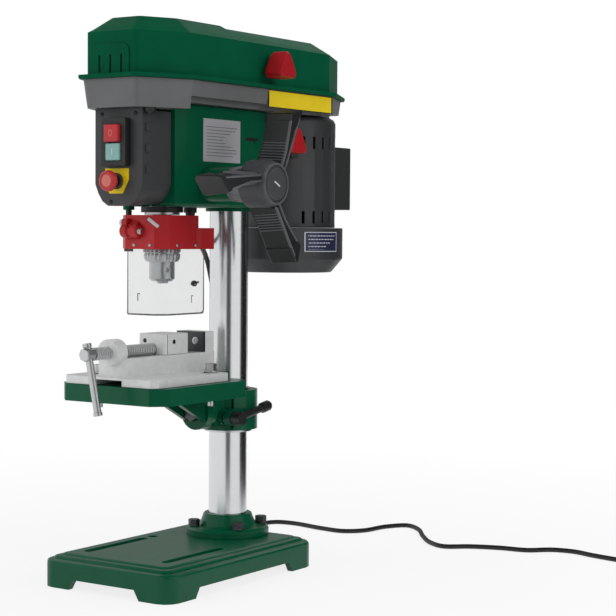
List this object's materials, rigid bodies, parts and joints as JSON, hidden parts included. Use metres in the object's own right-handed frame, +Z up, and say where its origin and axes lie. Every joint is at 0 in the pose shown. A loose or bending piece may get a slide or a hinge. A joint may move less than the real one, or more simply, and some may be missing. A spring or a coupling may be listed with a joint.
{
  "type": "benchtop drill press",
  "caption": "Bench drill press with a green cast head and base, bright column, grey belt housing, red chuck guard, spoked feed handle and a drill vise on its tilting table.",
  "frame": {"origin": "on the bench, under the middle of the machine's bounding box, with the mains cord left out", "axes": "+Z up, -Y to the operator, +X to the feed handle's side"},
  "size_m": [0.7349, 0.6081, 0.6335],
  "materials": {
    "green_paint_iron": "glossy green enamel",
    "green_paint_alloy": "glossy green enamel on a light casting",
    "green_sheet": "glossy green",
    "grey_paint": "satin dark grey",
    "grey_metal": "satin grey",
    "dark_plastic": "satin dark grey",
    "motor_shell": "satin dark grey paint",
    "black_plastic": "matt black",
    "black_steel": "blackened",
    "bright_steel": "ground bright",
    "dark_steel": "black oxide",
    "chrome_steel": "polished",
    "cast_alloy": "as cast, machined faces",
    "red_plastic": "glossy red",
    "stop_red": "glossy light red",
    "start_teal": "glossy pale green",
    "clear_sheet": "clear sheet",
    "cord_rubber": "matt black",
    "belt_rubber": "matt black"
  },
  "bodies": {
    "machine": {"base_plate": "green_paint_iron", "column_flange": "green_paint_iron", "flange_bolt_1": "dark_steel", "flange_bolt_2": "dark_steel", "flange_bolt_3": "dark_steel", "flange_bolt_4": "dark_steel", "column_tube": "chrome_steel", "head_casting": "green_paint_alloy", "belt_housing": "grey_paint", "switch_housing": "dark_plastic", "switch_bezel": "black_plastic", "cord_gland": "black_plastic", "mains_cord": "cord_rubber", "cord_coil": "cord_rubber", "plug": "black_plastic", "return_spring_cap": "black_steel", "guard_rod": "black_steel", "v_belt": "belt_rubber"},
    "feed": {"feed_shaft": "bright_steel", "depth_collar": "grey_metal", "handle_hub": "dark_plastic", "handle_arm_1": "dark_plastic", "handle_arm_2": "dark_plastic", "handle_arm_3": "dark_plastic"},
    "quill": {"quill": "bright_steel", "quill_collar": "black_plastic", "quill_bearing": "bright_steel"},
    "spindle": {"spindle": "bright_steel", "chuck_body": "bright_steel"},
    "chuck_sleeve": {"chuck_sleeve": "bright_steel"},
    "jaw_1": {"chuck_jaw_1": "bright_steel"},
    "jaw_2": {"chuck_jaw_2": "bright_steel"},
    "jaw_3": {"chuck_jaw_3": "bright_steel"},
    "motor": {"motor_housing": "motor_shell", "motor_end_cap": "motor_shell", "capacitor_box": "dark_plastic"},
    "rotor": {"motor_shaft": "bright_steel", "motor_pulley": "cast_alloy"},
    "spindle_pulley": {"spindle_pulley": "cast_alloy"},
    "motor_lock_knob": {"motor_lock_knob": "red_plastic"},
    "lid": {"lid": "green_sheet"},
    "lid_knob": {"lid_knob": "red_plastic"},
    "stop_button": {"stop_button": "stop_red"},
    "start_button": {"start_button": "start_teal"},
    "estop_plunger": {"estop_plunger": "black_plastic"},
    "estop_head": {"estop_head": "red_plastic"},
    "guard": {"guard_holder": "red_plastic", "guard_shield": "clear_sheet"},
    "bush": {"column_bush": "bright_steel"},
    "bracket": {"table_bracket": "green_paint_iron", "tilt_bolt": "dark_steel"},
    "clamp_lever": {"clamp_lever": "black_steel"},
    "table": {"table": "green_paint_iron", "vise_base": "cast_alloy", "fixed_jaw_plate": "dark_steel", "vise_bolt_1": "bright_steel", "vise_bolt_2": "bright_steel"},
    "vise_jaw": {"vise_moving_jaw": "cast_alloy"},
    "vise_screw": {"vise_screw": "bright_steel"},
    "vise_handle": {"vise_handle_bar": "bright_steel"}
  },
  "joints": [
    {"name": "feed_turn", "type": "hinge", "parent": "machine", "child": "feed", "pos_m": [0.05845, -0.0765, 0.452], "axis": [1, 0, 0], "range_deg": [0, 272.5], "stiffness_Nm_per_rad": 0.15, "springref_deg": -171.89},
    {"name": "quill_feed", "type": "slide", "parent": "machine", "child": "quill", "axis": [0, 0, -1], "range_m": [0, 0.05]},
    {"name": "spindle_spin", "type": "hinge", "parent": "quill", "child": "spindle", "pos_m": [-0.02355, -0.104, 0.4], "axis": [0, 0, 1], "continuous": true},
    {"name": "chuck_turn", "type": "hinge", "parent": "spindle", "child": "chuck_sleeve", "pos_m": [-0.02355, -0.104, 0.38], "axis": [0, 0, 1], "range_deg": [0, 1080]},
    {"name": "jaw_1_slide", "type": "slide", "parent": "spindle", "child": "jaw_1", "axis": [0, -0.1994, 0.9799], "range_m": [0, 0.016]},
    {"name": "jaw_2_slide", "type": "slide", "parent": "spindle", "child": "jaw_2", "axis": [0.1727, 0.0997, 0.9799], "range_m": [0, 0.016]},
    {"name": "jaw_3_slide", "type": "slide", "parent": "spindle", "child": "jaw_3", "axis": [-0.1727, 0.0997, 0.9799], "range_m": [0, 0.016]},
    {"name": "motor_slide", "type": "slide", "parent": "machine", "child": "motor", "axis": [0, -1, 0], "range_m": [0, 0.01]},
    {"name": "rotor_spin", "type": "hinge", "parent": "motor", "child": "rotor", "pos_m": [-0.02355, 0.141, 0.56], "axis": [0, 0, 1], "continuous": true},
    {"name": "spindle_pulley_spin", "type": "hinge", "parent": "machine", "child": "spindle_pulley", "pos_m": [-0.02355, -0.104, 0.57], "axis": [0, 0, 1], "continuous": true},
    {"name": "motor_lock_turn", "type": "hinge", "parent": "machine", "child": "motor_lock_knob", "pos_m": [0.04245, 0.057, 0.504], "axis": [1, 0, 0], "range_deg": [0, 360]},
    {"name": "lid_hinge", "type": "hinge", "parent": "machine", "child": "lid", "pos_m": [-0.10155, 0.023, 0.565], "axis": [0, -1, 0], "range_deg": [0, 100]},
    {"name": "lid_knob_turn", "type": "hinge", "parent": "lid", "child": "lid_knob", "pos_m": [0.05645, 0.011, 0.5886], "axis": [1, 0, 0], "range_deg": [0, 90]},
    {"name": "stop_press", "type": "slide", "parent": "machine", "child": "stop_button", "axis": [0, 1, 0], "range_m": [0, 0.004], "stiffness_N_per_m": 300, "springref_m": -0.002},
    {"name": "start_press", "type": "slide", "parent": "machine", "child": "start_button", "axis": [0, 1, 0], "range_m": [0, 0.003], "stiffness_N_per_m": 300, "springref_m": -0.002},
    {"name": "estop_press", "type": "slide", "parent": "machine", "child": "estop_plunger", "axis": [0, 1, 0], "range_m": [0, 0.004]},
    {"name": "estop_twist", "type": "hinge", "parent": "estop_plunger", "child": "estop_head", "pos_m": [-0.02505, -0.189, 0.4535], "axis": [0, 1, 0], "range_deg": [0, 40], "stiffness_Nm_per_rad": 0.02, "springref_deg": -11.46},
    {"name": "guard_swing", "type": "hinge", "parent": "machine", "child": "guard", "pos_m": [-0.06255, -0.116, 0.4], "axis": [0, 0, 1], "range_deg": [-100, 0]},
    {"name": "table_height", "type": "slide", "parent": "machine", "child": "bush", "axis": [0, 0, 1], "range_m": [-0.095, 0.015]},
    {"name": "table_swing", "type": "hinge", "parent": "bush", "child": "bracket", "pos_m": [-0.02355, 0.023, 0.187], "axis": [0, 0, 1], "range_deg": [-90, 90]},
    {"name": "clamp_turn", "type": "hinge", "parent": "bracket", "child": "clamp_lever", "pos_m": [0.01845, -0.013, 0.181], "axis": [1, 0, 0], "range_deg": [-10, 60]},
    {"name": "table_tilt", "type": "hinge", "parent": "bracket", "child": "table", "pos_m": [-0.02355, -0.037, 0.187], "axis": [0, 1, 0], "range_deg": [-45, 45]},
    {"name": "vise_slide", "type": "slide", "parent": "table", "child": "vise_jaw", "axis": [0, 1, 0], "range_m": [-0.05, 0.0235]},
    {"name": "vise_turn", "type": "hinge", "parent": "vise_jaw", "child": "vise_screw", "pos_m": [-0.02355, -0.227, 0.2658], "axis": [0, 1, 0], "range_deg": [-2990, 1405]},
    {"name": "vise_handle_slide", "type": "slide", "parent": "vise_screw", "child": "vise_handle", "axis": [-0.2079, 0, 0.9781], "range_m": [0, 0.055]}
  ],
  "couplings": [
    {"joint": "quill_feed", "follows": "feed_turn", "m_per_rad": 0.0105},
    {"joint": "spindle_spin", "follows": "rotor_spin", "ratio": 1},
    {"joint": "spindle_pulley_spin", "follows": "rotor_spin", "ratio": 1},
    {"joint": "jaw_1_slide", "follows": "chuck_turn", "m_per_rad": 0.000848},
    {"joint": "jaw_2_slide", "follows": "chuck_turn", "m_per_rad": 0.000848},
    {"joint": "jaw_3_slide", "follows": "chuck_turn", "m_per_rad": 0.000848},
    {"joint": "vise_slide", "follows": "vise_turn", "m_per_rad": 0.00095493}
  ]
}
